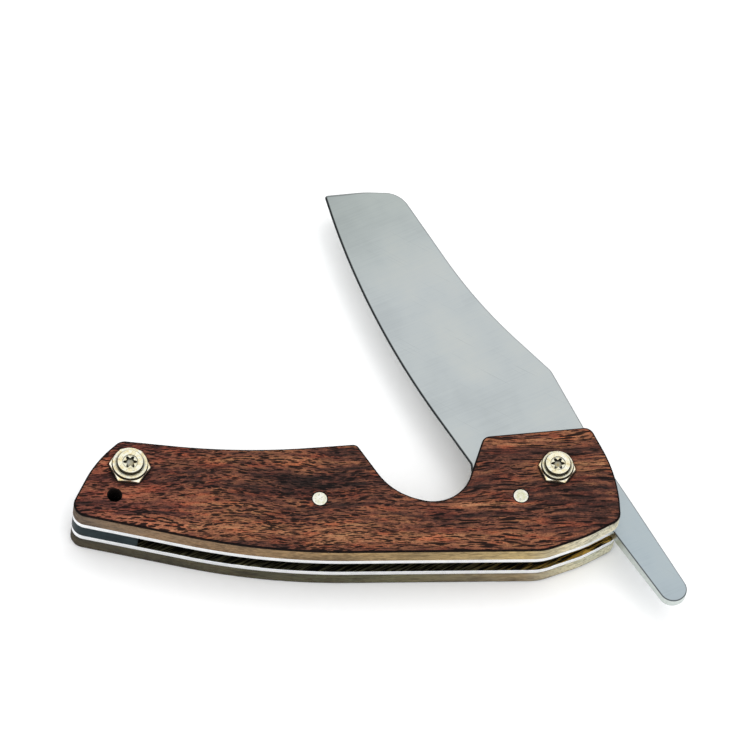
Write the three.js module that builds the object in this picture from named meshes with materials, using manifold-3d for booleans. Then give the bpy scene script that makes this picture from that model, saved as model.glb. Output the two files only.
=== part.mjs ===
// Folding straight razor with a wooden handle, a wide hollow-ground blade and a long tail.
// Millimetres, +Z up: the razor lies on the flat outer face of its back scale, at z = 0.
// Handle outlines are drawn from the pivot axis: -X along the handle, -Y towards its closed-blade side.
// Blade outlines are drawn in the blade's own frame: +X from the pivot to the tip, spine at -Y.
import * as THREE from "three";
import { mergeVertices } from "three/addons/utils/BufferGeometryUtils.js";
import Module from "manifold-3d";

const wasm = await Module();
wasm.setup();

// Layers of the handle, from the rest face up
const SCALE_T = 4.5; // one wooden scale
const LINER_T = 1.5; // one steel liner
const GAP_T = 4.2; // slot between the liners
const EDGE_ROUND = 0.5; // rounding of a scale's outer rim
const BACK_LINER_Z = SCALE_T;
const GAP_Z = BACK_LINER_Z + LINER_T;
const FRONT_LINER_Z = GAP_Z + GAP_T;
const FRONT_SCALE_Z = FRONT_LINER_Z + LINER_T;
const FACE_Z = FRONT_SCALE_Z + SCALE_T;

// Blade and its bearing
const BLADE_T = 3.7; // spine and tang
const EDGE_T = 0.2; // steel left at the cutting edge
const WASHER_T = 0.2;
const WASHER_R = 5.5;
const REST_ANGLE = 125; // degrees from +X to the blade's length, half open
const WHEEL_R = 240; // hollow grind
const GRIND_ANGLE = -11.5; // degrees, the grind runs along the edge's chord
const GRIND_FROM = 9; // shoulder, from the pivot along the blade
const GRIND_LENGTH = 100;
const GRIND_WIDTH = 44; // from its deepest line past the spine
const GRIND_MARGIN = 8; // and past the cutting edge
const EDGE_LINE_Y = 16.5; // deepest line of the grind, from the pivot across the blade
const TANG_BEVEL = 0.35;
const TAIL_TAPER_FROM = -16; // the tail thins from here to its tip
const TAIL_TAPER = 1.2; // degrees on each face
const TAPER_BLOCK = 60;

// Bolts: one barrel nut from the back and one screw from the front at each end
const BARREL_R = 2.5;
const BARREL_HEAD_R = 3.8;
const BARREL_HEAD_T = 1.3;
const THREAD_R = 1.5;
const THREAD_END_Z = 4;
const BARREL_FLOOR_Z = 3;
const SLOT_W = 0.9;
const SLOT_D = 0.7;
const COLLAR_T = 1.0; // hexagonal collar
const STEP_T = 0.8; // round step on the collar
const HEAD_T = 0.9; // screw head
const CHAMFER = 0.25;
const DISH_D = 0.25; // round dish in the screw head
const SOCKET_D = 0.5; // six-lobe socket below the dish
const LOBES = 6;
const FIT = 0.05; // radial clearance of every round fit

const PIVOT = { x: 0, y: 0, flats: 8.0, stepR: 3.75, headR: 2.95, dishR: 1.75, turn: -8 };
const END = { x: -102.7, y: 0.3, flats: 8.8, stepR: 4.2, headR: 3.05, dishR: 1.95, turn: -6 };

// Small round features of the handle
const PIN_R = 1.8;
const PINS = [
  { name: "rear", x: -57.5, y: -8.3 },
  { name: "pivot", x: -9.1, y: -7.5 },
];
const LANYARD = { x: -106.5, y: -7.4, r: 1.7 };

// The rest face's centre, from the pivot: it becomes the part's origin
const REST_POINT = { x: -48, y: -14 };

// Outline corners, [x, y, rounding radius]
const HANDLE = [
  [14.7, -13.8, 3.2],
  [14.7, -2.0, 38],
  [8.8, 11.4, 2.4],
  [-17.2, 8.75, 2.3],
  [-24.2, -11.05, 9.8],
  [-40.0, -6.35, 15.6],
  [-48.0, 6.6, 1.6],
  [-76, 4.3, 170],
  [-104.7, 7.5, 3],
  [-110.9, 1.8, 30],
  [-117.9, -12.1, 3.4],
  [-70, -23.0, 170],
  [-4.1, -22.3, 13],
  [6.4, -18.4, 30],
];
const SPACER = [
  [-96.0, 6.5, 0.3],
  [-104.7, 7.5, 3],
  [-110.9, 1.8, 30],
  [-117.9, -12.1, 3.4],
  [-100.8, -15.9, 0.3],
];
const BLADE = [
  [-42.6, -1.9, 3.4],
  [-42.6, -8.5, 3.3],
  [0, -13.6, 80],
  [24.2, -18.3, 5],
  [50, -15.4, 130],
  [85.4, -19.1, 7],
  [90.65, -12.6, 25],
  [95.6, -3.5, 0.75],
  [62.4, 9.45, 215],
  [15.7, 13.1, 1.2],
  [12.8, 15.0, 1.2],
  [8.5, 7.0, 3],
  [-1, 9.2, 7],
  [-11, 5.4, 5],
  [-15, -3.4, 6],
];

const ARC_STEPS = 4; // each rounded corner gets twice this many chords
const TURNED_STEPS = 32; // chords round a turned part

const BRASS = { color: 0xd9cfa4, metalness: 1, roughness: 0.25 };
const NICKEL_SILVER = { color: 0xd8d6bf, metalness: 1, roughness: 0.3 };
const BRONZE = { color: 0xb88a4c, metalness: 1, roughness: 0.4 };
const WOOD = { color: 0x6b4033, metalness: 0, roughness: 0.5 };
const POLISHED_STEEL = { color: 0xd8dadc, metalness: 1, roughness: 0.2 };
const DARK_STEEL = { color: 0x46585a, metalness: 1, roughness: 0.5 };
const SATIN_STEEL = { color: 0xc2cbd0, metalness: 1, roughness: 0.35 };

const root = new THREE.Group();
root.position.set(-REST_POINT.x, -REST_POINT.y, 0);

// A closed outline that turns each corner on an arc of its own radius.
function roundedOutline(corners) {
  const shape = new THREE.Shape();
  corners.forEach(([x, y, radius], i) => {
    const [x0, y0] = corners.at(i - 1);
    const [x2, y2] = corners[(i + 1) % corners.length];
    const corner = new THREE.Vector2(x, y);
    const back = new THREE.Vector2(x0 - x, y0 - y).normalize();
    const ahead = new THREE.Vector2(x2 - x, y2 - y).normalize();
    const half = Math.acos(back.dot(ahead)) / 2;
    const middle = back.clone().add(ahead).normalize();
    const centre = corner.clone().addScaledVector(middle, radius / Math.sin(half));
    const start = corner.clone().addScaledVector(back, radius / Math.tan(half)).sub(centre);
    const end = corner.clone().addScaledVector(ahead, radius / Math.tan(half)).sub(centre);
    const clockwise = back.cross(ahead) > 0;
    shape.absarc(centre.x, centre.y, radius, start.angle(), end.angle(), clockwise);
  });
  return shape;
}

// A geometry as a solid; triangles that collapse on a lathe's axis are left out.
function solidOf(geometry) {
  const bare = new THREE.BufferGeometry();
  const loose = geometry.index ? geometry.toNonIndexed() : geometry;
  bare.setAttribute("position", loose.getAttribute("position"));
  const merged = mergeVertices(bare, 1e-4);
  const kept = [];
  for (let i = 0; i < merged.index.count; i += 3) {
    const [a, b, c] = merged.index.array.slice(i, i + 3);
    if (a !== b && b !== c && c !== a) kept.push(a, b, c);
  }
  return new wasm.Manifold(
    new wasm.Mesh({
      numProp: 3,
      vertProperties: merged.attributes.position.array,
      triVerts: new Uint32Array(kept),
    }),
  );
}

function geometryOf(solid) {
  const mesh = solid.getMesh();
  const geometry = new THREE.BufferGeometry();
  geometry.setAttribute("position", new THREE.BufferAttribute(mesh.vertProperties, mesh.numProp));
  geometry.setIndex(new THREE.BufferAttribute(mesh.triVerts, 1));
  const flat = geometry.toNonIndexed();
  flat.computeVertexNormals();
  return flat;
}

// Adds a named mesh to a group, its own zero placed at a point of the handle.
function addMesh(name, solid, finish, group = root, at = PIVOT) {
  const mesh = new THREE.Mesh(geometryOf(solid), new THREE.MeshStandardMaterial(finish));
  mesh.name = name;
  mesh.position.set(at.x, at.y, 0);
  group.add(mesh);
}

// A flat plate of a given outline between two heights.
function plate(shape, from, to) {
  const options = { depth: to - from, bevelEnabled: false, curveSegments: ARC_STEPS };
  return solidOf(new THREE.ExtrudeGeometry(shape, options).translate(0, 0, from));
}

// A plate whose two rims are rounded, with its outline kept to size.
function softPlate(shape, from, to, rim, rimSteps) {
  const options = {
    depth: to - from - 2 * rim,
    bevelEnabled: true,
    bevelThickness: rim,
    bevelSize: rim,
    bevelOffset: -rim,
    bevelSegments: rimSteps,
    curveSegments: ARC_STEPS,
  };
  return solidOf(new THREE.ExtrudeGeometry(shape, options).translate(0, 0, from + rim));
}

// A part turned on a vertical axis from a closed half profile of [radius, z].
function turned(profile, at = PIVOT) {
  const points = [...profile, profile[0]].map(([r, z]) => new THREE.Vector2(r, z));
  const geometry = new THREE.LatheGeometry(points, TURNED_STEPS);
  return solidOf(geometry.rotateX(Math.PI / 2).translate(at.x, at.y, 0));
}

function rod(radius, from, to, at) {
  return turned([[0, from], [radius, from], [radius, to], [0, to]], at);
}

function block(width, depth, height, x, y, z) {
  return solidOf(new THREE.BoxGeometry(width, depth, height).translate(x, y, z));
}

// Removes the holes that go through every layer at this height.
function drilled(solid, from, to) {
  const holes = [
    rod(BARREL_R + FIT, from, to, PIVOT),
    rod(BARREL_R + FIT, from, to, END),
    rod(LANYARD.r, from, to, LANYARD),
    ...PINS.map((pin) => rod(PIN_R + FIT, from, to, pin)),
  ];
  return holes.reduce((left, hole) => left.subtract(hole), solid);
}

// Wooden scales: a plate with two round rims, of which the inner one is cut off.
function scale(from, side) {
  const inner = side > 0 ? from : from + SCALE_T;
  const low = Math.min(inner, inner + side * SCALE_T);
  const thick = softPlate(
    roundedOutline(HANDLE),
    side > 0 ? low - SCALE_T : low,
    side > 0 ? low + SCALE_T : low + 2 * SCALE_T,
    EDGE_ROUND,
    2,
  );
  const keep = block(200, 200, SCALE_T, -50, 0, low + SCALE_T / 2);
  return drilled(thick.intersect(keep), low - 1, low + SCALE_T + 1);
}

const backScale = [PIVOT, END].reduce(
  (left, bolt) => left.subtract(rod(BARREL_HEAD_R + FIT, -1, BARREL_HEAD_T + FIT, bolt)),
  scale(0, -1),
);
addMesh("front_scale", scale(FRONT_SCALE_Z, 1), WOOD);
addMesh("back_scale", backScale, WOOD);

// Steel liners
function liner(from) {
  const blank = plate(roundedOutline(HANDLE), from, from + LINER_T);
  return drilled(blank, from - 1, from + LINER_T + 1);
}
addMesh("front_liner", liner(FRONT_LINER_Z), POLISHED_STEEL);
addMesh("back_liner", liner(BACK_LINER_Z), POLISHED_STEEL);

// End spacer: holds the liners apart at the far end of the handle
const spacer = plate(roundedOutline(SPACER), GAP_Z, FRONT_LINER_Z);
addMesh("end_spacer", drilled(spacer, GAP_Z - 1, FRONT_LINER_Z + 1), DARK_STEEL);

// Short pins that hold each scale to its liner; they end flush with the slot
for (const pin of PINS) {
  addMesh(`front_pin_${pin.name}`, rod(PIN_R, FRONT_LINER_Z, FACE_Z), NICKEL_SILVER, root, pin);
  addMesh(`back_pin_${pin.name}`, rod(PIN_R, 0, GAP_Z), NICKEL_SILVER, root, pin);
}

// Hollow grind: what one grinding wheel takes off the face on one side (+1 or -1), drawn across
// the blade and swept along the edge.
function wheelCut(side) {
  const down = -Math.PI / 2;
  const first = down - Math.asin(GRIND_MARGIN / WHEEL_R);
  const last = down + Math.asin(GRIND_WIDTH / WHEEL_R);
  const profile = new THREE.Shape();
  profile.absarc(0, WHEEL_R + EDGE_T / 2, WHEEL_R, first, last, false);
  profile.lineTo(GRIND_WIDTH, WHEEL_R / 4);
  profile.lineTo(-GRIND_MARGIN, WHEEL_R / 4);
  const options = { depth: GRIND_LENGTH, bevelEnabled: false, curveSegments: 2 * ARC_STEPS };
  const cut = new THREE.ExtrudeGeometry(profile, options);
  const axes = new THREE.Matrix4().makeBasis(
    new THREE.Vector3(0, -1, 0),
    new THREE.Vector3(0, 0, side),
    new THREE.Vector3(-side, 0, 0),
  );
  const sweptFrom = side > 0 ? GRIND_FROM + GRIND_LENGTH : GRIND_FROM;
  cut.applyMatrix4(axes).translate(sweptFrom, EDGE_LINE_Y, 0);
  return solidOf(cut.rotateZ(THREE.MathUtils.degToRad(GRIND_ANGLE)));
}

// The wedge taken off the tail on one side.
function taperCut(side) {
  const wedge = new THREE.BoxGeometry(TAPER_BLOCK, TAPER_BLOCK, BLADE_T);
  wedge.translate(-TAPER_BLOCK / 2, 0, (side * BLADE_T) / 2);
  wedge.rotateY(-side * THREE.MathUtils.degToRad(TAIL_TAPER));
  return solidOf(wedge.translate(TAIL_TAPER_FROM, 0, (side * BLADE_T) / 2));
}

const blank = softPlate(roundedOutline(BLADE), -BLADE_T / 2, BLADE_T / 2, TANG_BEVEL, 1);
const cuts = [wheelCut(1), wheelCut(-1), taperCut(1), taperCut(-1)];
const bore = rod(BARREL_R + FIT, -BLADE_T, BLADE_T);
const bladeGroup = new THREE.Group();
bladeGroup.position.z = GAP_Z + GAP_T / 2;
bladeGroup.rotation.z = THREE.MathUtils.degToRad(REST_ANGLE);
root.add(bladeGroup);
const ground = cuts.reduce((left, cut) => left.subtract(cut), blank.subtract(bore));
addMesh("blade", ground, SATIN_STEEL, bladeGroup);

// Thin bearing washers between the tang and the liners
function ring(radius, hole, from, to) {
  return turned([[hole, from], [radius, from], [radius, to], [hole, to]]);
}
for (const [name, from] of [["back", GAP_Z], ["front", FRONT_LINER_Z - WASHER_T]]) {
  const washer = ring(WASHER_R, BARREL_R + FIT, from, from + WASHER_T);
  addMesh(`${name}_bearing_washer`, washer, BRONZE);
}

// Barrel nut: a tube through every layer, with a slotted head let into the back scale.
function barrel() {
  const body = turned([
    [0, 0],
    [BARREL_HEAD_R, 0],
    [BARREL_HEAD_R, BARREL_HEAD_T],
    [BARREL_R, BARREL_HEAD_T],
    [BARREL_R, FACE_Z],
    [THREAD_R + FIT, FACE_Z],
    [THREAD_R + FIT, BARREL_FLOOR_Z],
    [0, BARREL_FLOOR_Z],
  ]);
  return body.subtract(block(3 * BARREL_HEAD_R, SLOT_W, 2 * SLOT_D, 0, 0, 0));
}

// Hexagonal collar with its upper corners turned off; two corners point along the handle.
function collar(bolt) {
  const across = bolt.flats / Math.sqrt(3);
  const hex = new THREE.CylinderGeometry(across, across, COLLAR_T, 6).rotateX(Math.PI / 2);
  hex.rotateZ(THREE.MathUtils.degToRad(30 + bolt.turn));
  hex.translate(0, 0, FACE_Z + COLLAR_T / 2);
  const top = FACE_Z + COLLAR_T;
  const envelope = turned([
    [THREAD_R + FIT, FACE_Z],
    [across + CHAMFER, FACE_Z],
    [across + CHAMFER, top - 3 * CHAMFER],
    [bolt.flats / 2, top],
    [THREAD_R + FIT, top],
  ]);
  return solidOf(hex).intersect(envelope);
}

function step(bolt) {
  const low = FACE_Z + COLLAR_T;
  const top = low + STEP_T;
  return turned([
    [THREAD_R + FIT, low],
    [bolt.stepR, low],
    [bolt.stepR, top - CHAMFER],
    [bolt.stepR - CHAMFER, top],
    [THREAD_R + FIT, top],
  ]);
}

// Six-lobe socket of a screw, its radius swinging once per lobe.
function socket(radius, from, to) {
  const around = Array.from({ length: LOBES * 6 }, (_, i) => {
    const angle = (i / (LOBES * 6)) * 2 * Math.PI;
    const reach = radius * (0.85 + 0.15 * Math.cos(LOBES * angle));
    return new THREE.Vector2(reach * Math.cos(angle), reach * Math.sin(angle));
  });
  return plate(new THREE.Shape(around), from, to);
}

function screw(bolt) {
  const low = FACE_Z + COLLAR_T + STEP_T;
  const top = low + HEAD_T;
  const floor = top - DISH_D;
  const body = turned([
    [0, THREAD_END_Z],
    [THREAD_R, THREAD_END_Z],
    [THREAD_R, low],
    [bolt.headR, low],
    [bolt.headR, top - CHAMFER],
    [bolt.headR - CHAMFER, top],
    [bolt.dishR, top],
    [bolt.dishR - CHAMFER, floor],
    [0, floor],
  ]);
  return body.subtract(socket(bolt.dishR * 0.75, floor - SOCKET_D, top + 1));
}

for (const [name, bolt] of [["pivot", PIVOT], ["end", END]]) {
  addMesh(`${name}_barrel`, barrel(), BRASS, root, bolt);
  addMesh(`${name}_hex_collar`, collar(bolt), BRASS, root, bolt);
  addMesh(`${name}_step_washer`, step(bolt), BRASS, root, bolt);
  addMesh(`${name}_screw`, screw(bolt), BRASS, root, bolt);
}

export default root;
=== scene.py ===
"""Looks of the folding straight razor: wooden scales, steel liners and blade, brass bolts.

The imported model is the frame. Lengths in this file are millimetres until a mesh is made.
Handle outlines are drawn from the pivot axis, blade outlines in the blade's own frame.
"""

import math

import bpy
import numpy as np
from mathutils import Matrix, Vector, geometry


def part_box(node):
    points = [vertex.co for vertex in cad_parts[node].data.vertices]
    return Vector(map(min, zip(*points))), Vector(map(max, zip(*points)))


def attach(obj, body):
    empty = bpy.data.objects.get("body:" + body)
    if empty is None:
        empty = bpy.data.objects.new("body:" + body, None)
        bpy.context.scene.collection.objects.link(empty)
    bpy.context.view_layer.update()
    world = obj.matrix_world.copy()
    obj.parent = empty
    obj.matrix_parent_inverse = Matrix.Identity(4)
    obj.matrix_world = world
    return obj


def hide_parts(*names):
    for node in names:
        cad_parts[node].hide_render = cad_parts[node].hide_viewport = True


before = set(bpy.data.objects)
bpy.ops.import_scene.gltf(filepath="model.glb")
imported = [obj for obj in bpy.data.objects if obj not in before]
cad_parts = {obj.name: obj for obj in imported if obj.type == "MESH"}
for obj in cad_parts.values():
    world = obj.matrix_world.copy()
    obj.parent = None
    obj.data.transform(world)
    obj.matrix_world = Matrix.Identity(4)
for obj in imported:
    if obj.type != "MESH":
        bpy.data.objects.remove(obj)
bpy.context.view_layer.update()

MM = 0.001


# ---------------------------------------------------------------- places from the frame
class Place:
    """Where a CAD node is, in millimetres."""

    def __init__(self, node):
        low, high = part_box(node)
        self.low, self.high = low / MM, high / MM
        self.x, self.y = (self.low.x + self.high.x) / 2, (self.low.y + self.high.y) / 2
        self.bottom, self.top = self.low.z, self.high.z
        self.radius = (self.high.x - self.low.x) / 2


PIVOT = Place("pivot_barrel")
END = Place("end_barrel")
PINS = [Place("front_pin_rear"), Place("front_pin_pivot")]
FRONT_SCALE, BACK_SCALE = Place("front_scale"), Place("back_scale")
FRONT_LINER, BACK_LINER = Place("front_liner"), Place("back_liner")
BLADE_MID_Z = (Place("blade").bottom + Place("blade").top) / 2

# Outline corners, [x, y, rounding radius]
HANDLE = [
    [14.7, -13.8, 3.2],
    [14.7, -2.0, 38],
    [8.8, 11.4, 2.4],
    [-17.2, 8.75, 2.3],
    [-24.2, -11.05, 9.8],
    [-40.0, -6.35, 15.6],
    [-48.0, 6.6, 1.6],
    [-76, 4.3, 170],
    [-104.7, 7.5, 3],
    [-110.9, 1.8, 30],
    [-117.9, -12.1, 3.4],
    [-70, -23.0, 170],
    [-4.1, -22.3, 13],
    [6.4, -18.4, 30],
]
SPACER = [
    [-96.0, 6.5, 0.3],
    [-104.7, 7.5, 3],
    [-110.9, 1.8, 30],
    [-117.9, -12.1, 3.4],
    [-100.8, -15.9, 0.3],
]
BLADE = [
    [-42.6, -1.9, 3.4],
    [-42.6, -8.5, 3.3],
    [0, -13.6, 80],
    [24.2, -18.3, 5],
    [50, -15.4, 130],
    [85.4, -19.1, 7],
    [90.65, -12.6, 25],
    [95.6, -3.5, 0.75],
    [62.4, 9.45, 215],
    [15.7, 13.1, 1.2],
    [12.8, 15.0, 1.2],
    [8.5, 7.0, 3],
    [-1, 9.2, 7],
    [-11, 5.4, 5],
    [-15, -3.4, 6],
]
OUTLINE_STEP = 0.5  # longest chord along an outline
FACE_GRID = 3.0  # points inside a flat face
LEAST_AREA = 1e-4  # a thinner triangle of a flat face is left out
RIM_CLEAR = 1.0  # from a flat face's rings to the points inside it
EDGE_ROUND = 0.5  # rounding of a scale's outer rim
LINER_BREAK = 0.12  # broken corner of a liner's edge
FRONT_HOLE_BREAK, BACK_HOLE_BREAK, LINER_HOLE_BREAK = 0.18, 0.15, 0.1
LANYARD = (-106.5, -7.4, 1.7)  # from the pivot, and its radius
FIT = 0.05  # clearance round pins and bolts
BARREL_R = 2.5
BARREL_HEAD_T = 1.3
PIN_CROWN = 0.05  # height of a pin's dome over the scale
AXIS_R = 0.02  # a turned part's faces stop this far from its axis

# Blade
REST_ANGLE = 125  # degrees
BLADE_STEP = 0.4  # longest chord along the blade's outline
BLADE_T = 3.7
EDGE_T = 0.2
WHEEL_R = 240  # hollow grind
GRIND_ANGLE = -11.5  # degrees, of the grind's length from the blade's X
GRIND_FROM = 9  # where the hollow grind starts, along its own length
GRIND_RUNOUT = 1.2
GRIND_MARGIN = 8
EDGE_LINE_Y = 16.5  # where the grind is thinnest, across its own length
TAIL_TAPER_FROM = -16
TAIL_TAPER = 1.2  # degrees
ARRIS = 0.3  # rounding of the spine and tang
ARRIS_STEPS = 5
HONE_W = 0.6  # honed facet at the cutting edge
HONE_T = 0.03  # half of the edge's thickness
THIN, THICK = 0.15, 0.6  # half thicknesses with a honed facet and with a round arris
FACE_MARGIN = 0.06  # a narrow ring that keeps the arris out of the face's shading
BLADE_GRID = 1.2  # points under each face, which carry its hollow

# Bolts
CHAMFER = 0.25  # of the hexagonal collars' corners
SOFT_EDGE = 0.12  # rounding of the turned parts' rims
STEP_LAP = 0.6  # from a step washer's rim in to the ring under it on its collar's face
HEX_TURN = {"pivot": -8, "end": -6}  # degrees
THREAD_R = 1.5
DISH_D = 0.25
SOCKET_D = 0.55
DISH_SHARE = 0.64  # of the screw head's radius
SOCKET_SHARE = 0.9  # of the dish's radius
# The socket's floor has less painted shade in its middle than at its walls
PALER_FLOOR_SHARE = 0.4  # of the dish's radius: the bright middle of the socket's floor
LOBES, LOBE_SWING = 6, 0.22
HEX_SHARPNESS = 70  # of the collar's corners
CONE_SHARPNESS = 50  # of the line where the collar's faces meet its turned cone


# ---------------------------------------------------------------- outlines
def outline(corners, step=OUTLINE_STEP):
    """Points and outward normals round a closed outline, each corner on a tangent arc."""
    corner = [np.array(c[:2], float) for c in corners]
    arcs = []
    for i, (_, _, radius) in enumerate(corners):
        here, before, after = corner[i], corner[i - 1], corner[(i + 1) % len(corners)]
        back = (before - here) / np.linalg.norm(before - here)
        ahead = (after - here) / np.linalg.norm(after - here)
        half = math.acos(back @ ahead) / 2
        middle = (back + ahead) / np.linalg.norm(back + ahead)
        centre = here + middle * radius / math.sin(half)
        first = here + back * radius / math.tan(half) - centre
        last = here + ahead * radius / math.tan(half) - centre
        start = math.atan2(first[1], first[0])
        turn = math.atan2(first[0] * last[1] - first[1] * last[0], first @ last)
        count = max(3, math.ceil(radius * abs(turn) / step))
        angles = start + turn * np.arange(count + 1) / count
        rays = np.c_[np.cos(angles), np.sin(angles)]
        arcs.append((centre + radius * rays, rays if turn > 0 else -rays))
    points, normals = [], []
    for i, (arc, rays) in enumerate(arcs):
        points.extend(arc)
        normals.extend(rays)
        nearest = arcs[(i + 1) % len(arcs)][0][0]
        gap = nearest - arc[-1]
        count = math.ceil(np.linalg.norm(gap) / step)
        for k in range(1, count):
            points.append(arc[-1] + gap * k / count)
            normals.append(rays[-1])
    return np.array(points), np.array(normals)


def circle(x, y, radius, count=48):
    angles = 2 * math.pi * np.arange(count) / count
    return np.c_[x + radius * np.cos(angles), y + radius * np.sin(angles)]


def lobed(x, y, radius, count=72):
    """Six-lobe socket, its radius swinging once per lobe."""
    angles = 2 * math.pi * np.arange(count) / count
    reach = radius * (1 - LOBE_SWING + LOBE_SWING * np.cos(LOBES * angles))
    return np.c_[x + reach * np.cos(angles), y + reach * np.sin(angles)]


def inside(points, loop):
    """Which points lie inside a closed loop."""
    x, y = points[:, :1], points[:, 1:]
    ax, ay = loop[:, 0], loop[:, 1]
    bx, by = np.roll(ax, -1), np.roll(ay, -1)
    rises = (ay > y) != (by > y)
    slope = (bx - ax) / np.where(by == ay, 1e-12, by - ay)
    crossings = rises & (x < ax + (y - ay) * slope)
    return crossings.sum(axis=1) % 2 == 1


def scatter(loops, spacing, margin):
    """Staggered grid of points between the first loop and the holes in it."""
    low, high = loops[0].min(axis=0), loops[0].max(axis=0)
    rows, columns = np.arange(low[1], high[1], spacing), np.arange(low[0], high[0], spacing)
    grid = np.array([(x + (k % 2) * spacing / 2, y) for k, y in enumerate(rows) for x in columns])
    keep = inside(grid, loops[0])
    for hole in loops[1:]:
        keep &= ~inside(grid, hole)
    edge = np.concatenate(loops)
    apart = np.linalg.norm(grid[:, None] - edge[None], axis=2).min(axis=1)
    return grid[keep & (apart > margin)]


def fill(loops, extra=()):
    """Triangles between the first loop and the holes in it, as indices into loops then extra."""
    flat = [Vector(p) for loop in loops for p in loop] + [Vector(p) for p in extra]
    edges, at = [], 0
    for loop in loops:
        edges += [(at + k, at + (k + 1) % len(loop)) for k in range(len(loop))]
        at += len(loop)
    points, _, triangles, source, _, _ = geometry.delaunay_2d_cdt(flat, edges, [], 0, 1e-6)
    corners = np.array([[points[k][:] for k in t] for t in triangles])
    middles = corners.mean(axis=1)
    first, second = corners[:, 1] - corners[:, 0], corners[:, 2] - corners[:, 0]
    area = (first[:, 0] * second[:, 1] - first[:, 1] * second[:, 0]) / 2
    keep = inside(middles, np.array(loops[0])) & (area > LEAST_AREA)
    for hole in loops[1:]:
        keep &= ~inside(middles, np.array(hole))
    return [[source[k][0] for k in t] for t, kept in zip(triangles, keep) if kept]


# ---------------------------------------------------------------- meshes
class Build:
    """Collects vertices, faces, material numbers and the rim mask of one mesh: where shade, and on the
    blade's honed edge a dark reflection, is painted.
    """

    def __init__(self):
        self.points, self.faces, self.slots, self.rim = [], [], [], []

    def ring(self, loop, z, rim=0.0):
        first = len(self.points)
        heights = np.broadcast_to(z, len(loop))
        self.points += [(p[0], p[1], h) for p, h in zip(loop, heights)]
        self.rim += list(np.broadcast_to(rim, len(loop)))
        return list(range(first, len(self.points)))

    def band(self, upper, lower, slot=0):
        """Wall between two rings of equal length, facing out if they run anticlockwise."""
        n = len(upper)
        for k in range(n):
            m = (k + 1) % n
            self.faces.append((upper[k], lower[k], lower[m], upper[m]))
            self.slots.append(slot)

    def flat_cap(self, rings, up, slot=0):
        """Flat face between a ring and the rings of its holes, with points inside it."""
        loops = [np.array([self.points[i][:2] for i in ring]) for ring in rings]
        grid = scatter(loops, FACE_GRID, RIM_CLEAR)
        self.cap(rings, up, slot, self.ring(grid, self.points[rings[0][0]][2]))

    def cap(self, rings, up, slot=0, extra=()):
        """Flat or curved face between a ring and the rings of its holes."""
        flat = [i for ring in rings for i in ring] + list(extra)
        loops = [[self.points[i][:2] for i in ring] for ring in rings]
        for t in fill(loops, [self.points[i][:2] for i in extra]):
            face = [flat[k] for k in t]
            self.faces.append(face if up else face[::-1])
            self.slots.append(slot)

    def finish(self, name, materials, crease=32, at=None):
        mesh = bpy.data.meshes.new(name)
        mesh.from_pydata([Vector(p) * MM for p in self.points], [], self.faces)
        for material in materials:
            mesh.materials.append(material)
        mesh.polygons.foreach_set("material_index", self.slots)
        # The rim attribute carries the mask of painted shade and painted dark reflection
        painted_dark_mask = mesh.attributes.new("rim", "FLOAT", "POINT")
        painted_dark_mask.data.foreach_set("value", self.rim)
        if at:
            mesh.transform(at)
        mesh.shade_smooth()
        mesh.set_sharp_from_angle(angle=math.radians(crease))
        mesh.validate()
        piece = bpy.data.objects.new(name, mesh)
        bpy.context.scene.collection.objects.link(piece)
        weights = piece.modifiers.new("weights", "WEIGHTED_NORMAL")
        weights.keep_sharp = True
        return piece


def quarter_round(radius, steps):
    """(inset, drop, mask of painted shade, strongest halfway round) from the inner end of a rounded rim
    to its outer end, after a narrow flat ring that keeps the flat face's shading flat."""
    turns = [math.pi / 2 * k / steps for k in range(steps + 1)]
    rings = [(radius * (1 - math.sin(t)), radius * (1 - math.cos(t)), math.sin(2 * t)) for t in turns]
    return [(radius * 1.4, 0.0, 0.0)] + rings


def from_pivot(loop):
    return np.asarray(loop) + (PIVOT.x, PIVOT.y)


def through_holes():
    """Centre and radius of every hole that goes through a scale and its liner."""
    pins = [(pin.x, pin.y, pin.radius + FIT) for pin in PINS]
    bolts = [(bolt.x, bolt.y, BARREL_R + FIT) for bolt in (PIVOT, END)]
    lanyard = (PIVOT.x + LANYARD[0], PIVOT.y + LANYARD[1], LANYARD[2])
    return bolts + pins + [lanyard]


def plate(name, corners, low, high, rims, holes, materials, wall=0):
    """A plate with a hole list of (x, y, radius, broken corner) and rims (top, bottom)."""
    points, normals = outline(corners)
    points = from_pivot(points)
    top_rim, bottom_rim = rims
    build = Build()
    # The rounded rim's rings carry its painted shade in the rim mask
    rings = [build.ring(points - normals * inset, high - drop, painted_dark_mask) for inset, drop, painted_dark_mask in top_rim]
    rings += [
        build.ring(points - normals * inset, low + drop, painted_dark_mask)
        for inset, drop, painted_dark_mask in reversed(bottom_rim)
    ]
    for upper, lower in zip(rings, rings[1:]):
        build.band(upper, lower, wall)
    tops, bottoms = [rings[0]], [rings[-1]]
    for x, y, radius, broken in holes:
        steps = [(radius + broken, high), (radius + broken / 3, high - broken / 3)]
        steps += [(radius, high - broken), (radius, low)]
        # The walls below each hole's top ring are marked for painted shade
        loops = [build.ring(circle(x, y, r), z, min(1, k)) for k, (r, z) in enumerate(steps)]
        for upper, lower in zip(loops, loops[1:]):
            build.band(lower, upper, wall)
        tops.append(loops[0])
        bottoms.append(loops[-1])
    build.flat_cap(tops, True)
    build.flat_cap(bottoms, False)
    return build.finish(name, materials)


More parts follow.
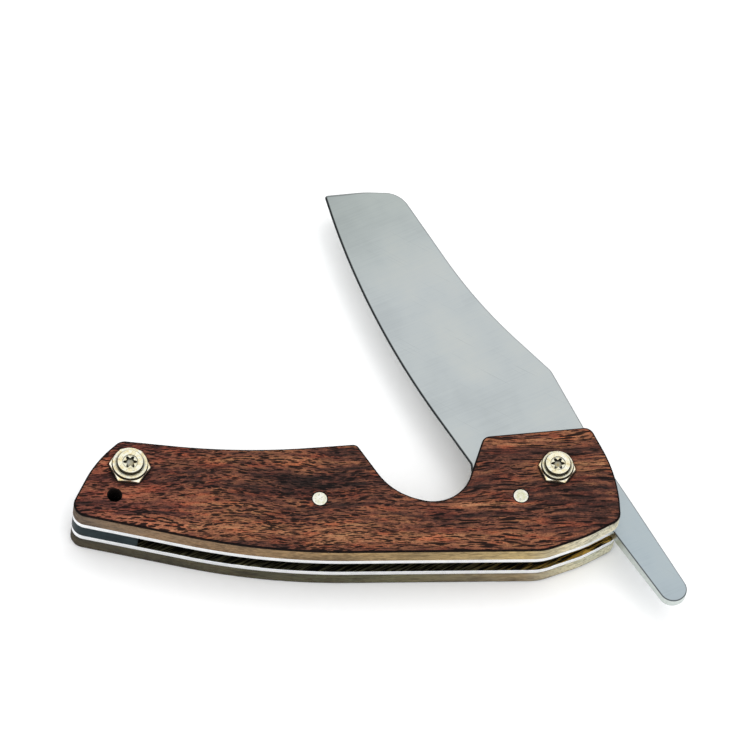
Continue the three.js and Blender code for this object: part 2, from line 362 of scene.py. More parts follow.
def turned(name, x, y, profile, materials, radius_at=None, count=96):
    """A part turned on a vertical axis from a closed profile of (radius, z), listed from the inside of
    its top outwards and down. radius_at changes a radius with its direction and height."""
    build = Build()
    angles = 2 * math.pi * np.arange(count) / count
    rings = []
    for radius, z in profile:
        reach = np.full(count, radius) if radius_at is None else radius_at(angles, radius, z)
        loop = np.c_[x + reach * np.cos(angles), y + reach * np.sin(angles)]
        rings.append(build.ring(loop, z))
    for upper, lower in zip(rings, rings[1:] + rings[:1]):
        build.band(upper, lower)
    return build.finish(name, materials)


# ---------------------------------------------------------------- node trees
def srgb(red, green, blue):
    """A colour given as 0-255 screen values, as the linear colour a shader takes."""
    share = [v / 255 for v in (red, green, blue)]
    return tuple(v / 12.92 if v <= 0.04045 else ((v + 0.055) / 1.055) ** 2.4 for v in share) + (1.0,)


class Tree:
    """Short calls for building the node tree of a material or a world. A value is a number, a
    tuple or another node's output."""

    def __init__(self, owner):
        self.owner = owner
        owner.use_nodes = True
        self.tree = owner.node_tree
        self.tree.nodes.clear()

    def add(self, kind, inputs, output=0, **settings):
        node = self.tree.nodes.new("ShaderNode" + kind)
        for key, value in settings.items():
            setattr(node, key, value)
        for key, value in inputs.items():
            if isinstance(value, bpy.types.NodeSocket):
                self.tree.links.new(value, node.inputs[key])
            else:
                node.inputs[key].default_value = value
        return node.outputs[output] if node.outputs else None

    def math(self, operation, a, b=0.0):
        return self.add("Math", {0: a, 1: b}, operation=operation)

    def times(self, a, b):
        return self.math("MULTIPLY", a, b)

    def plus(self, a, b):
        return self.math("ADD", a, b)

    def step(self, value, low, high, to_low=0.0, to_high=1.0):
        """A smooth step of value from low to high."""
        inputs = {"Value": value, "From Min": low, "From Max": high, "To Min": to_low, "To Max": to_high}
        return self.add("MapRange", inputs, interpolation_type="SMOOTHSTEP")

    def mix(self, share, a, b, blend="MIX"):
        return self.add("Mix", {0: share, 6: a, 7: b}, 2, data_type="RGBA", blend_type=blend)

    def tint(self, share, colour, by):
        """A colour multiplied by (red, green, blue), as far as share says."""
        return self.mix(share, colour, self.mix(1.0, colour, by + (1,), "MULTIPLY"))

    def ramp(self, value, stops):
        node = self.tree.nodes.new("ShaderNodeValToRGB")
        elements = node.color_ramp.elements
        while len(elements) < len(stops):
            elements.new(0.5)
        for element, (position, colour) in zip(elements, stops):
            element.position, element.color = position, colour
        self.tree.links.new(value, node.inputs[0])
        return node.outputs[0]

    def millimetres(self):
        """Place on the piece, in the part's frame at rest."""
        place = self.add("TexCoord", {}, "Object")
        return self.add("VectorMath", {0: place, 1: (1 / MM,) * 3}, operation="MULTIPLY")

    def turned_about(self, place, centre, degrees):
        """place measured from a centre, in axes turned about Z."""
        moved = self.add("VectorMath", {0: place, 1: centre}, operation="SUBTRACT")
        inputs = {"Vector": moved, "Axis": (0, 0, 1), "Angle": -math.radians(degrees)}
        return self.add("VectorRotate", inputs)

    def stretched(self, place, scale):
        return self.add("VectorMath", {0: place, 1: scale}, operation="MULTIPLY")

    def noise(self, place, scale, detail=3.0, roughness=0.5, distortion=0.0):
        """Noise whose grain is 1 / scale millimetres on each axis."""
        inputs = {
            "Vector": self.stretched(place, scale),
            "Scale": 1.0,
            "Detail": detail,
            "Roughness": roughness,
            "Distortion": distortion,
        }
        return self.add("TexNoise", inputs)

    def cells(self, place, scale):
        """Distance to the nearest of scattered points, about 1 / scale millimetres apart."""
        return self.add("TexVoronoi", {"Vector": self.stretched(place, scale), "Scale": 1.0}, "Distance")

    def axes(self, place):
        node = self.tree.nodes.new("ShaderNodeSeparateXYZ")
        self.tree.links.new(place, node.inputs[0])
        return node.outputs

    def flat_distance(self, place, x, y):
        """Distance in millimetres from the vertical line through (x, y)."""
        moved = self.add("VectorMath", {0: place, 1: (x, y, 0)}, operation="SUBTRACT")
        flat = self.stretched(moved, (1, 1, 0))
        return self.add("VectorMath", {0: flat}, "Value", operation="LENGTH")

    def blob(self, place, x, y, reach_x, reach_y):
        """1 at a point of the handle's face, falling smoothly to 0 at its reach along X and Y."""
        moved = self.add("VectorMath", {0: place, 1: (x, y, 0)}, operation="SUBTRACT")
        shrunk = self.stretched(moved, (1 / reach_x, 1 / reach_y, 0))
        far = self.add("VectorMath", {0: shrunk}, "Value", operation="LENGTH")
        return self.step(far, 1.0, 0.1)

    # Mask of painted shade, and of a painted dark reflection on the blade's honed edge
    def rim(self):
        return self.add("Attribute", {}, "Fac", attribute_name="rim")

    def flatness(self):
        """1 where the surface faces up or down, 0 where it stands upright."""
        normal = self.add("NewGeometry", {}, "Normal")
        up = self.add("VectorMath", {0: normal, 1: (0, 0, 1)}, "Value", operation="DOT_PRODUCT")
        return self.math("ABSOLUTE", up)

    def openness(self):
        """1 in the open, less in a corner that is under a millimetre wide."""
        return self.add("AmbientOcclusion", {"Distance": 1.0 * MM}, "AO", samples=8)

    def bump(self, height, distance, strength):
        """Relief of a height in millimetres."""
        return self.add("Bump", {"Height": height, "Distance": distance * MM, "Strength": strength})

    def surface(self, colour, metallic, roughness, normal, **more):
        inputs = {"Base Color": colour, "Metallic": metallic, "Roughness": roughness, "Normal": normal}
        inputs.update({key.replace("_", " "): value for key, value in more.items()})
        shader = self.add("BsdfPrincipled", inputs)
        self.add("OutputMaterial", {"Surface": shader})
        return self.owner


# ---------------------------------------------------------------- materials
# Pores: (cells per mm on each axis, size, offset, share at the lanyard end, share at the pivot end)
PORES = [
    ((0.36, 2.1, 2.1), 0.40, 3.0, 1.0, 0.7),
    ((0.25, 1.7, 1.7), 0.36, 17.0, 1.0, 0.85),
    ((0.55, 2.9, 2.9), 0.38, 29.0, 1.0, 0.6),
    ((0.13, 1.5, 1.5), 0.34, 41.0, 0.55, 1.1),
    ((0.075, 1.1, 1.1), 0.22, 57.0, 0.3, 1.15),
]
# Broad figure of the wood: (x, y, reach along, reach across, shift of tone)
FIGURE = [
    (-10, 6.5, 26, 7.5, -0.10),
    (-16, 8, 10, 8, -0.03),
    (34, 15, 12, 6, -0.07),
    (40, 4, 26, 5, -0.03),
    (57, 9, 12, 14, -0.03),
    (-38, 17, 22, 9, 0.06),
    (-55, 0, 16, 12, 0.03),
    (-12, -4, 34, 4, 0.06),
    (20, 1, 14, 5, -0.04),
    (44, -5, 16, 3.5, 0.05),
]
WOOD_TONES = [
    (0.40, srgb(30, 19, 16)),
    (0.48, srgb(66, 38, 31)),
    (0.54, srgb(104, 62, 46)),
    (0.61, srgb(132, 84, 58)),
    (0.70, srgb(162, 112, 80)),
]
SIDE_FIGURE = [(0.40, (0.42, 0.40, 0.38, 1)), (0.52, (0.95, 0.93, 0.88, 1)), (0.64, (1.4, 1.3, 1.12, 1))]
PORE_DARK, SIDE_PORE = srgb(14, 8, 8), srgb(60, 46, 36)
# Painted shade on the wood; painted shade together with tarnish on the metal
WOOD_PAINTED_SHADE, METAL_TARNISH_AND_SHADE = srgb(9, 5, 5), srgb(12, 9, 6)


def wood_tone(t, place, grain, streaks, fibre):
    """Light and dark of the wood's figure, most of it between 0.4 and 0.7."""
    bands = t.noise(grain, (0.03, 0.2, 0.2), 3.0, 0.55)
    tone = t.plus(t.times(bands, 0.5), t.plus(t.times(streaks, 0.36), t.times(fibre, 0.22)))
    for x, y, reach_x, reach_y, shift in FIGURE:
        tone = t.plus(tone, t.times(t.blob(place, x, y, reach_x, reach_y), shift))
    mottle = t.noise(grain, (0.5, 1.1, 1.1), 3.0, 0.7)
    return t.plus(tone, t.times(t.plus(mottle, -0.5), 0.22))


def wood_face(t, place, x, grain, tone):
    """Colour of the oiled face without its pores: a purple cast at the lanyard end, light and dark
    grit, warmer and cooler patches."""
    colour = t.ramp(tone, WOOD_TONES)
    colour = t.tint(t.times(t.step(x, -30, -60), 0.6), colour, (1.05, 0.80, 0.98))
    grit = t.noise(grain, (2.4, 5.0, 5.0), 2.0, 0.7)
    colour = t.tint(t.step(grit, 0.5, 0.74), colour, (1.55, 1.6, 1.6))
    colour = t.tint(t.step(grit, 0.5, 0.28), colour, (0.55, 0.5, 0.5))
    warm = t.step(t.noise(place, (0.13, 0.5, 0.5), 2.0), 0.48, 0.68)
    colour = t.tint(t.times(warm, 0.7), colour, (1.25, 0.80, 0.70))
    cool = t.step(t.noise(place, (0.17, 0.6, 0.6), 2.0, 0.5, 0.4), 0.50, 0.38)
    return t.tint(t.times(cool, 0.6), colour, (0.88, 1.0, 0.92))


def wood_pores(t, x, grain):
    """Open pores: long thin vessels cut by the surface, longer towards the pivot end."""
    crowd = t.noise(grain, (0.07, 0.4, 0.4), 2.0)
    lengthen = t.step(x, -5, 25)
    pores = None
    for scale, size, offset, near_end, far_end in PORES:
        shifted = t.add("VectorMath", {0: grain, 1: (offset, offset, offset)}, operation="ADD")
        far = t.cells(shifted, scale)
        reach = t.times(t.step(crowd, 0.32, 0.58, 0.62, 1.0), size)
        reach = t.times(reach, t.plus(near_end, t.times(lengthen, far_end - near_end)))
        one = t.math("SUBTRACT", 1.0, t.step(t.math("DIVIDE", far, reach), 0.8, 1.05))
        pores = one if pores is None else t.math("MAXIMUM", pores, one)
    return pores


def wood_side(t, x, tone, side_tones_and_light):
    """Colour of the sanded sides, paler than the oiled face, with painted light and shade along the
    handle.
    """
    low, high = side_tones_and_light[0][0], side_tones_and_light[-1][0]
    along = t.add("MapRange", {"Value": x, "From Min": low, "From Max": high})
    stops = [((at - low) / (high - low), colour) for at, colour in side_tones_and_light]
    return t.mix(1.0, t.ramp(along, stops), t.ramp(tone, SIDE_FIGURE), "MULTIPLY")


def wood(name, side_tones_and_light):
    """Dark red-brown open-pored wood, its grain along the handle. The second argument gives the colours
    of its sanded sides, [(x, colour)] along the handle, with light and shade painted into them."""
    t = Tree(bpy.data.materials.new(name))
    place = t.millimetres()
    x = t.axes(place)[0]
    # The grain wanders a little from the handle's length
    sway = t.noise(place, (0.022, 0.05, 0.05), 2.0)
    drift = t.add("CombineXYZ", {"Y": t.times(t.plus(sway, -0.5), 9.0)})
    grain = t.add("VectorMath", {0: place, 1: drift}, operation="ADD")
    streaks = t.noise(grain, (0.09, 1.1, 1.1), 4.0, 0.6, 0.3)
    fibre = t.noise(grain, (0.6, 7.0, 7.0), 3.0, 0.6)
    tone = wood_tone(t, place, grain, streaks, fibre)
    pores = wood_pores(t, x, grain)
    face = t.mix(t.times(pores, 0.95), wood_face(t, place, x, grain, tone), PORE_DARK)
    sanded = t.mix(t.times(pores, 0.4), wood_side(t, x, tone, side_tones_and_light), SIDE_PORE)
    side = t.step(t.flatness(), 0.5, 0.2)
    # Painted shade along the rounded rim, on the hole walls and in the corners where fasteners and holes
    # meet the wood
    dirt_and_shade = t.math("MAXIMUM", t.step(t.openness(), 0.9, 0.6), t.step(t.rim(), 0.05, 0.4))
    colour = t.mix(t.times(dirt_and_shade, 0.97), t.mix(side, face, sanded), WOOD_PAINTED_SHADE)
    rough = t.plus(0.48, t.plus(t.times(pores, 0.3), t.times(streaks, 0.2)))
    rough = t.plus(rough, t.math("MAXIMUM", t.times(side, 0.2), t.times(dirt_and_shade, 0.3)))
    relief = t.plus(t.times(pores, -1.0), t.times(fibre, 0.12))
    return t.surface(colour, 0.0, rough, t.bump(relief, 0.06, 0.7), Specular_IOR_Level=0.14)


def blade_steel(name):
    """Satin steel, ground across the edge, with a painted dark reflection along the honed edge, painted
    shade along the round arris and painted light on the upright walls.
    """
    t = Tree(bpy.data.materials.new(name))
    place = t.millimetres()
    own = t.turned_about(place, (PIVOT.x, PIVOT.y, 0), REST_ANGLE + GRIND_ANGLE)
    cloud = t.noise(own, (0.05, 0.08, 0.08), 3.0)
    across = t.noise(own, (3.2, 0.07, 0.3), 3.0, 0.6)
    fine = t.noise(own, (11.0, 0.3, 0.5), 2.0, 0.6)
    scuffed = t.turned_about(own, (0, 0, 0), 34)
    scuff = t.step(t.noise(scuffed, (0.05, 4.5, 1.0), 2.0), 0.66, 0.74)
    colour = t.ramp(
        t.plus(t.times(cloud, 0.7), t.times(across, 0.3)),
        [(0.3, srgb(176, 181, 182)), (0.5, srgb(188, 193, 193)), (0.7, srgb(195, 198, 195))],
    )
    length = t.axes(t.turned_about(place, (PIVOT.x, PIVOT.y, 0), REST_ANGLE))[0]
    colour = t.tint(t.step(length, 0, -22), colour, (0.86, 0.92, 0.97))
    colour = t.tint(t.step(length, 58, 92), colour, (0.86, 0.875, 0.84))
    colour = t.mix(t.times(scuff, 0.3), colour, srgb(150, 156, 158))
    # The upright walls get a lighter greenish grey: painted light on the blade's sides
    wall = t.step(t.flatness(), 0.5, 0.1)
    colour = t.mix(wall, colour, srgb(192, 199, 195))
    # Painted shade on the round arris and a painted dark reflection on the honed edge, where the rim
    # attribute marks them
    colour = t.mix(t.times(t.rim(), 0.95), colour, srgb(18, 21, 24))
    rough = t.plus(0.26, t.plus(t.times(across, 0.10), t.times(fine, 0.08)))
    rough = t.plus(rough, t.times(scuff, 0.1))
    relief = t.plus(t.times(across, 0.6), t.plus(t.times(fine, 0.3), t.times(scuff, -0.4)))
    return t.surface(colour, 1.0, rough, t.bump(relief, 0.004, 0.6))


def polished_edge(name):
    """Bright polished steel of the liners' edges."""
    t = Tree(bpy.data.materials.new(name))
    place = t.millimetres()
    lines = t.noise(place, (0.3, 0.3, 9.0), 3.0, 0.6)
    spots = t.noise(place, (0.5, 0.5, 0.5), 3.0)
    tone = t.plus(t.times(lines, 0.5), t.times(spots, 0.5))
    colour = t.ramp(tone, [(0.36, srgb(226, 228, 230)), (0.6, srgb(246, 247, 248))])
    rough = t.plus(0.12, t.times(lines, 0.16))
    return t.surface(colour, 1.0, rough, t.bump(lines, 0.003, 0.5))


def ground_face(name):
    """Liner face seen in the slot: oily steel with coarse slanting grinding marks. Its dark colour is
    painted shade inside the narrow slot, and its gold towards the pivot end a painted reflection.
    """
    t = Tree(bpy.data.materials.new(name))
    place = t.millimetres()
    slanted = t.turned_about(place, (0, 0, 0), 27)
    marks = t.noise(slanted, (0.12, 2.0, 1.0), 3.0, 0.65)
    oil = t.noise(place, (0.06, 0.2, 0.2), 3.0)
    bright = t.step(t.plus(t.times(marks, 0.75), t.times(oil, 0.25)), 0.46, 0.6)
    x = t.axes(place)[0]
    # Painted warm reflection on the marks towards the pivot end
    warm = t.mix(t.step(x, 22, 56), srgb(120, 116, 88), srgb(255, 214, 110))
    colour = t.mix(bright, srgb(40, 38, 31), warm)
    rough = t.plus(0.34, t.times(marks, 0.2))
    return t.surface(colour, 1.0, rough, t.bump(marks, 0.01, 0.6))


def spacer_steel(name):
    """Dark blue-grey steel of the end spacer."""
    t = Tree(bpy.data.materials.new(name))
    place = t.millimetres()
    lines = t.noise(place, (0.4, 0.4, 7.0), 3.0, 0.6)
    patches = t.noise(place, (0.2, 0.2, 0.6), 3.0)
    tone = t.plus(t.times(lines, 0.4), t.times(patches, 0.6))
    colour = t.ramp(tone, [(0.35, srgb(14, 27, 31)), (0.55, srgb(26, 42, 46)), (0.7, srgb(44, 60, 62))])
    rough = t.plus(0.4, t.times(lines, 0.2))
    return t.surface(colour, 1.0, rough, t.bump(lines, 0.005, 0.6))


def bright_metal(name, colours, centres, seed, painted_wall_shade=0.0):
    """Turned metal: faint lathe rings about each axis, painted shade in the corners and sockets, a few
    tarnish spots.
    The last argument is how much shade is painted on the upright walls."""
    t = Tree(bpy.data.materials.new(name))
    place = t.millimetres()
    far = None
    for x, y in centres:
        one = t.flat_distance(place, x, y)
        far = one if far is None else t.math("MINIMUM", far, one)
    height = t.axes(place)[2]
    line = t.add("CombineXYZ", {"X": t.times(far, 9.0), "Y": t.times(height, 9.0), "Z": seed})
    rings = t.add("TexNoise", {"Vector": line, "Scale": 1.0, "Detail": 2.0})
    spots = t.noise(place, (0.9, 0.9, 0.9), 4.0, 0.6)
    colour = t.ramp(t.plus(t.times(rings, 0.35), t.times(spots, 0.65)), colours)
    # Painted shade on upright walls, in corners and where the rim attribute marks the sockets; the
    # specks are tarnish
    wall = t.times(t.step(t.flatness(), 0.9, 0.6), painted_wall_shade)
    specks = t.times(t.step(t.noise(place, (1.9, 1.9, 1.9), 3.0, 0.7), 0.57, 0.64), 0.45)
    corners = t.times(t.step(t.openness(), 0.92, 0.66), 0.95)
    dirt_and_shade = t.times(t.rim(), 0.95)
    for part in (wall, specks, corners):
        dirt_and_shade = t.math("MAXIMUM", dirt_and_shade, part)
    colour = t.mix(dirt_and_shade, colour, METAL_TARNISH_AND_SHADE)
    rough = t.plus(0.18, t.plus(t.times(rings, 0.12), t.times(spots, 0.1)))
    rough = t.plus(rough, t.times(dirt_and_shade, 0.35))
    relief = t.plus(t.times(rings, 0.6), t.times(spots, 0.4))
    return t.surface(colour, 1.0, rough, t.bump(relief, 0.006, 0.5))


def floor_paint(name):
    """Plain pale floor."""
    t = Tree(bpy.data.materials.new(name))
    place = t.millimetres()
    speck = t.noise(place, (0.4, 0.4, 0.4), 2.0)
    colour = t.ramp(speck, [(0.3, (0.975, 0.975, 0.975, 1)), (0.7, (0.985, 0.985, 0.985, 1))])
    return t.surface(colour, 0.0, 0.9, t.bump(speck, 0.01, 0.1), Specular_IOR_Level=0.1)


# Colours of the sanded sides, (x, colour) along the handle. Their paling towards the pivot end is a
# painted highlight of light from that end; the back scale's sides are painted darker, as shade near the
# floor.
FRONT_SIDE_LIGHT = [
    (-66, srgb(96, 84, 74)),
    (-32, srgb(130, 106, 82)),
    (8, srgb(150, 128, 92)),
    (40, srgb(166, 148, 108)),
    (56, srgb(206, 204, 186)),
]
BACK_SIDE_LIGHT_AND_SHADE = [
    (-66, srgb(58, 55, 47)),
    (-32, srgb(70, 68, 55)),
    (8, srgb(88, 88, 70)),
    (40, srgb(122, 110, 90)),
    (56, srgb(180, 182, 166)),
]
# The back wood is the front wood with its sides painted darker as shade
FRONT_WOOD_LIT = wood("front_wood_lit", FRONT_SIDE_LIGHT)
BACK_WOOD_SHADED = wood("back_wood_shaded", BACK_SIDE_LIGHT_AND_SHADE)
STEEL = blade_steel("blade_steel")
EDGE = polished_edge("liner_edge")
FACE = ground_face("liner_face")
SPACER_STEEL = spacer_steel("spacer_steel")
BOLT_AXES = [(bolt.x, bolt.y) for bolt in (PIVOT, END)]
PIN_AXES = [(pin.x, pin.y) for pin in PINS]
BRASS_TONES = [(0.36, srgb(232, 208, 150)), (0.5, srgb(248, 240, 208)), (0.62, srgb(253, 252, 240))]
PIN_TONES = [(0.36, srgb(214, 212, 172)), (0.5, srgb(232, 229, 206)), (0.62, srgb(248, 246, 236))]
BRONZE_TONES = [(0.3, srgb(150, 104, 56)), (0.5, srgb(186, 138, 80)), (0.7, srgb(206, 164, 108))]
BRASS = bright_metal("brass", BRASS_TONES, BOLT_AXES, 2.0)
# Brass for the step washers and screws, with shade painted on its upright walls
BRASS_SHADED_WALLS = bright_metal("brass_shaded_walls", BRASS_TONES, BOLT_AXES, 3.0, 0.9)
NICKEL_SILVER = bright_metal("nickel_silver", PIN_TONES, PIN_AXES, 5.0)
BRONZE = bright_metal("bronze", BRONZE_TONES, BOLT_AXES, 8.0)


# ---------------------------------------------------------------- handle
def keep(piece, body, slot, *nodes):
    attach(piece, body)
    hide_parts(*nodes)


def broken_holes(size):
    """Every through hole, with a broken corner of one size at its top."""
    return [hole + (size,) for hole in through_holes()]


round_rim = quarter_round(EDGE_ROUND, 8)
square_rim = [(0.0, 0.0, 0.0)]
crisp_rim = [(LINER_BREAK, 0.0, 0.0), (LINER_BREAK / 3, LINER_BREAK / 3, 0.0), (0.0, LINER_BREAK, 0.0)]

front = plate(
    "front_scale_wood",
    HANDLE,
    FRONT_SCALE.bottom,
    FRONT_SCALE.top,
    (round_rim, square_rim),
    broken_holes(FRONT_HOLE_BREAK),
    [FRONT_WOOD_LIT],
)
keep(front, "handle", "wood", "front_scale")


def back_scale():
    """Like the front scale, upside down, with room for the barrel nuts' heads."""
    points, normals = outline(HANDLE)
    points = from_pivot(points)
    low, high = BACK_SCALE.bottom, BACK_SCALE.top
    build = Build()
    rings = [build.ring(points, high)]
    rings += [
        build.ring(points - normals * inset, low + drop, painted_dark_mask)
        for inset, drop, painted_dark_mask in reversed(round_rim)
    ]
    for upper, lower in zip(rings, rings[1:]):
        build.band(upper, lower)
    tops, bottoms = [rings[0]], [rings[-1]]
    for k, (x, y, radius) in enumerate(through_holes()):
        steps = [(radius, high)]
        if k < 2:
            sink = low + BARREL_HEAD_T + FIT
            steps.append((radius, sink))
            radius = PIVOT.radius + FIT
            steps.append((radius, sink))
        steps += [(radius, low + BACK_HOLE_BREAK), (radius + BACK_HOLE_BREAK, low)]
        # Every ring of a hole is marked for painted shade, as is the rounded rim above
        loops = [build.ring(circle(x, y, r), z, 1.0) for r, z in steps]
        for upper, lower in zip(loops, loops[1:]):
            build.band(lower, upper)
        tops.append(loops[0])
        bottoms.append(loops[-1])
    build.flat_cap(tops, True)
    build.flat_cap(bottoms, False)
    return build.finish("back_scale_wood", [BACK_WOOD_SHADED])


keep(back_scale(), "handle", "wood", "back_scale")

for side, place in (("front", FRONT_LINER), ("back", BACK_LINER)):
    liner = plate(
        side + "_liner_steel",
        HANDLE,
        place.bottom,
        place.top,
        (crisp_rim, crisp_rim),
        broken_holes(LINER_HOLE_BREAK),
        [FACE, EDGE],
        wall=1,
    )
    keep(liner, "handle", "liner_steel", side + "_liner")

spacer = plate(
    "end_spacer_steel",
    SPACER,
    Place("end_spacer").bottom,
    Place("end_spacer").top,
    (crisp_rim, crisp_rim),
    [broken_holes(LINER_HOLE_BREAK)[k] for k in (1, -1)],  # the end bolt's and the lanyard's
    [SPACER_STEEL],
)
keep(spacer, "handle", "spacer_steel", "end_spacer")


def pin(name, domed):
    """A short pin, peened into a low dome over the front scale or flat under the back scale."""
    place = Place(name)
    r, top, low = place.radius, place.top, place.bottom
    rim = [(r - 0.22, 0.0), (r - 0.07, 0.06), (r, 0.2)]  # (radius, depth below the scale's face)
    if domed:
        profile = [(AXIS_R, top + PIN_CROWN), (r * 0.6, top + 0.7 * PIN_CROWN)]
        profile += [(radius, top - depth) for radius, depth in rim] + [(r, low)]
    else:
        profile = [(AXIS_R, top), (r, top)]
        profile += [(radius, low + depth) for radius, depth in reversed(rim)]
    profile.append((AXIS_R, low))
    piece = turned(name + "_metal", place.x, place.y, profile, [NICKEL_SILVER])
    keep(piece, "handle", "pin_metal", name)


for end in ("rear", "pivot"):
    pin("front_pin_" + end, True)
    pin("back_pin_" + end, False)


# ---------------------------------------------------------------- bolts
def hexagon(flats, turn, cone):
    """Radius of a hexagonal collar in a direction and at a height, under the cone that turns off its
    corners. High powers round its edges a little."""
    faces = [math.radians(turn + 60 * k) for k in range(6)]
    n, m = HEX_SHARPNESS, CONE_SHARPNESS

    def radius_at(angles, radius, z):
        sides = sum(np.maximum(np.cos(angles - face), 0) ** n for face in faces)
        around = (flats / 2) * sides ** (-1 / n)
        reach = (around**-m + cone(z) ** -m) ** (-1 / m)
        return np.minimum(radius, reach)

    return radius_at


def hex_collar(name, at, place, flat_r):
    """Hexagonal collar, its corners turned off by a cone, with a flat face out to flat_r on top."""
    turn = HEX_TURN[name]
    corner = place.radius / math.cos(math.radians(turn))
    flats = corner * math.sqrt(3)
    low, top = place.bottom, place.top
    slope = (corner + CHAMFER - flats / 2) / (3 * CHAMFER)
    # Rings from the top down, close together at first; the hexagon and the cone cut them all back
    # from twice the corner's radius
    heights = [top - 0.02 * k for k in range(4)] + list(np.linspace(top - 0.12, low + 0.06, 14)) + [low]
    profile = [(THREAD_R, top), (flat_r, top)]
    profile += [(2 * corner, z) for z in heights]
    profile.append((THREAD_R, low))
    reach = hexagon(flats, turn + 30, lambda z: flats / 2 + (top - z) * slope)
    return turned(name + "_hex_collar_brass", at.x, at.y, profile, [BRASS], reach, count=240)


def soft_rim(radius, top):
    """(radius, z) round a turned part's top rim."""
    return [(radius - inset, top - drop) for inset, drop, _ in quarter_round(SOFT_EDGE, 4)]


def step_washer(name, at, place):
    low, r = place.bottom, place.radius
    profile = [(THREAD_R, place.top)] + soft_rim(r, place.top)
    profile += [(r, low + 0.05), (r - 0.05, low), (THREAD_R, low)]
    return turned(name + "_step_washer_brass", at.x, at.y, profile, [BRASS_SHADED_WALLS])


def screw(name, at, place, low):
    """Screw head down to low, with a round dish, a six-lobe socket in it, and a plain shank."""
    top, r = place.top, place.radius
    dish = r * DISH_SHARE
    floor = top - DISH_D
    build = Build()
    outer = [(dish - 0.10, floor), (dish - 0.06, top - 0.08), (dish + 0.06, top)] + soft_rim(r, top)
    outer += [(r, low + 0.04), (r - 0.04, low), (THREAD_R, low), (THREAD_R, place.bottom)]
    rings = [build.ring(circle(at.x, at.y, radius, 96), z) for radius, z in outer]
    for upper, lower in zip(rings, rings[1:]):
        build.band(upper, lower)
    # The socket narrows a little below its mouth; painted shade darkens its walls fully and the middle
    # of its floor by half
    socket = dish * SOCKET_SHARE
    mouth = build.ring(lobed(at.x, at.y, socket), floor)
    lip = build.ring(lobed(at.x, at.y, socket - dish * 0.04), floor - 0.05, 1.0)
    depth = build.ring(lobed(at.x, at.y, socket - dish * 0.06), floor - SOCKET_D, 1.0)
    paler_floor = build.ring(circle(at.x, at.y, dish * PALER_FLOOR_SHARE, 36), floor - SOCKET_D, 0.55)
    build.band(lip, mouth)
    build.band(depth, lip)
    build.cap([rings[0], mouth], True)
    build.cap([depth, paler_floor], True)
    build.cap([paler_floor], True)
    build.cap([rings[-1]], False)
    return build.finish(name + "_screw_brass", [BRASS_SHADED_WALLS])


for name, at in (("pivot", PIVOT), ("end", END)):
    collar, step, head = (Place(name + part) for part in ("_hex_collar", "_step_washer", "_screw"))
    collar = hex_collar(name, at, collar, step.radius - STEP_LAP)
    keep(collar, "handle", "bolt_brass", name + "_hex_collar")
    keep(step_washer(name, at, step), "handle", "bolt_brass", name + "_step_washer")
    keep(screw(name, at, head, step.top), "handle", "bolt_brass", name + "_screw")

# The barrel nuts and the bearing washers keep their CAD shape
for node in ("pivot_barrel", "end_barrel", "front_bearing_washer", "back_bearing_washer"):
    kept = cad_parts[node]
    kept.data.materials.clear()
    kept.data.materials.append(BRASS if "barrel" in node else BRONZE)


# ---------------------------------------------------------------- blade
def half_thickness(points):
    """Half of the blade's thickness at points of its own frame."""
    x, y = points[:, 0], points[:, 1]
    lean = math.radians(GRIND_ANGLE)
    along = x * math.cos(lean) + y * math.sin(lean)
    depth = y * math.cos(lean) - x * math.sin(lean) - EDGE_LINE_Y
    depth = np.clip(depth, -WHEEL_R * 0.9, GRIND_MARGIN)
    ground = EDGE_T / 2 + WHEEL_R - np.sqrt(WHEEL_R**2 - depth**2)
    share = np.clip((along - GRIND_FROM) / GRIND_RUNOUT, 0, 1)
    share = share * share * (3 - 2 * share)
    full = BLADE_T / 2
    half = full + share * (np.minimum(ground, full) - full)
    taper = np.maximum(TAIL_TAPER_FROM - x, 0) * math.tan(math.radians(TAIL_TAPER))
    return np.minimum(half, full - taper)


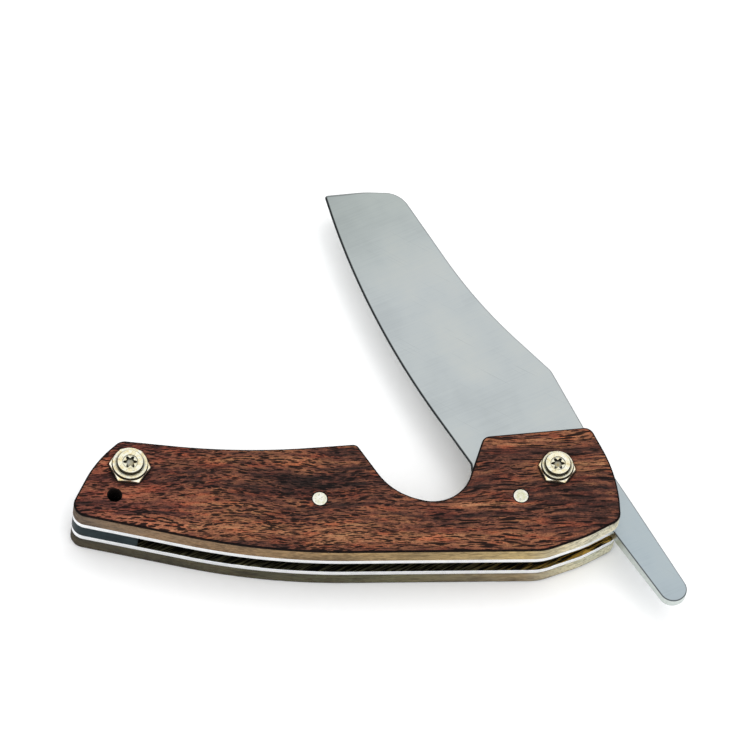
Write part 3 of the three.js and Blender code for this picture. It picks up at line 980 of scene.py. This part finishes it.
def blade():
    """Blade, tang and tail: a rounded arris where it is thick, a honed facet where it is thin."""
    points, normals = outline(BLADE, BLADE_STEP)
    near = half_thickness(points - normals * ARRIS)
    thick = np.clip((near - THIN) / (THICK - THIN), 0, 1)[:, None]
    arris = np.minimum(ARRIS, 0.8 * near)[:, None]
    # The honed edge carries a painted dark reflection, darkest along the cutting edge and fading on the
    # tip's end
    painted_edge_reflection = 0.4 + 0.6 * np.clip(2 * normals[:, 1], 0, 1)
    rings = []  # (loop, share of the way out, turn of a round arris) from the face outwards
    for k in range(ARRIS_STEPS + 1):
        share = k / ARRIS_STEPS
        turn = share * math.pi / 2
        soft = arris * (1 - math.sin(turn))
        honed = HONE_W * (1 - share)
        loop = points - normals * (thick * soft + (1 - thick) * honed)
        rings.append((loop, share, turn))
    inner = half_thickness(rings[0][0])
    build = Build()
    margin = rings[0][0] - normals * FACE_MARGIN
    uppers = [build.ring(margin, half_thickness(margin))]
    lowers = [build.ring(margin, -half_thickness(margin))]
    for loop, share, turn in rings:
        soft = inner - arris[:, 0] * (1 - math.cos(turn))
        honed = inner - share * np.maximum(inner - HONE_T, 0)
        height = thick[:, 0] * soft + (1 - thick[:, 0]) * honed
        # Mask of painted shade along the middle of the round arris and of the painted dark reflection on
        # the honed facet
        painted_dark_mask = thick[:, 0] * 0.9 * math.sqrt(max(0, math.sin(2 * turn)))
        painted_dark_mask += (1 - thick[:, 0]) * painted_edge_reflection * min(1, 4 * share)
        uppers.append(build.ring(loop, height, painted_dark_mask))
        lowers.append(build.ring(loop, -height, painted_dark_mask))
    for upper, lower in zip(uppers, uppers[1:]):
        build.band(upper, lower)
    build.band(uppers[-1], lowers[-1])
    for upper, lower in zip(lowers[1:], lowers):
        build.band(upper, lower)
    bore = circle(0, 0, BARREL_R + FIT)
    holes = [build.ring(bore, side * BLADE_T / 2) for side in (1, -1)]
    build.band(holes[1], holes[0])
    grid = scatter([margin, bore], BLADE_GRID, 0.5)
    height = half_thickness(grid)
    build.cap([uppers[0], holes[0]], True, 0, build.ring(grid, height))
    build.cap([lowers[0], holes[1]], False, 0, build.ring(grid, -height))
    axis = Matrix.Translation(Vector((PIVOT.x, PIVOT.y, BLADE_MID_Z)) * MM)
    rest = Matrix.Rotation(math.radians(REST_ANGLE), 4, "Z")
    return build.finish("blade_steel_body", [STEEL], crease=40, at=axis @ rest)


keep(blade(), "blade", "blade_steel", "blade")


# ---------------------------------------------------------------- floor, lights, camera
# Metres and watts
TARGET = Vector((0.00623, 0.0440, 0.0081))
KEY_PLACE = (0.35, 0.45, 0.95)
KEY_SIZE, KEY_POWER = 0.7, 2.6
GREY_CARD = (0.100, 0.484, 0.869)  # direction of the card's middle
SKY_STRENGTH = 1.25
VIEW_ANGLES = (29.243, -5.071, -2.671)  # degrees about X, Y and Z
VIEW_DISTANCE = 1.7215
LENS, SENSOR = 340.8, 36  # millimetres


def stage_floor():
    mesh = bpy.data.meshes.new("floor")
    reach = 6.0
    corners = [(-reach, -reach, 0), (reach, -reach, 0), (reach, reach, 0), (-reach, reach, 0)]
    mesh.from_pydata(corners, [], [(0, 1, 2, 3)])
    mesh.materials.append(floor_paint("floor_paint"))
    floor = bpy.data.objects.new("floor", mesh)
    bpy.context.scene.collection.objects.link(floor)


def area_light(name, place, target, size, power):
    lamp = bpy.data.lights.new(name, "AREA")
    lamp.shape, lamp.size, lamp.energy = "DISK", size, power
    light = bpy.data.objects.new(name, lamp)
    light.location = place
    light.visible_glossy = False
    light.rotation_euler = (Vector(target) - Vector(place)).to_track_quat("-Z", "Y").to_euler()
    bpy.context.scene.collection.objects.link(light)


def studio_world():
    """Soft white surroundings with one grey card, which the blade's face mirrors to the camera."""
    world = bpy.data.worlds.new("studio")
    bpy.context.scene.world = world
    t = Tree(world)
    direction = t.add("TexCoord", {}, "Generated")
    across = t.add("VectorMath", {0: direction, 1: GREY_CARD}, "Value", operation="DOT_PRODUCT")
    card = t.step(across, 0.70, 0.95)
    sky = t.mix(card, (1.0, 1.0, 1.0, 1), (0.80, 0.82, 0.835, 1))
    background = t.add("Background", {"Color": sky, "Strength": SKY_STRENGTH})
    t.add("OutputWorld", {"Surface": background})


def photo_camera():
    """Long lens, looking down on the handle's face."""
    camera = bpy.data.objects.new("camera", bpy.data.cameras.new("camera"))
    camera.rotation_euler = [math.radians(a) for a in VIEW_ANGLES]
    back = camera.rotation_euler.to_matrix() @ Vector((0, 0, VIEW_DISTANCE))
    camera.location = TARGET + back
    camera.data.lens, camera.data.sensor_width = LENS, SENSOR
    camera.data.clip_end = 20
    bpy.context.scene.collection.objects.link(camera)
    bpy.context.scene.camera = camera


stage_floor()
studio_world()
area_light("key", KEY_PLACE, TARGET, KEY_SIZE, KEY_POWER)
photo_camera()
bpy.context.scene.view_settings.view_transform = "Standard"
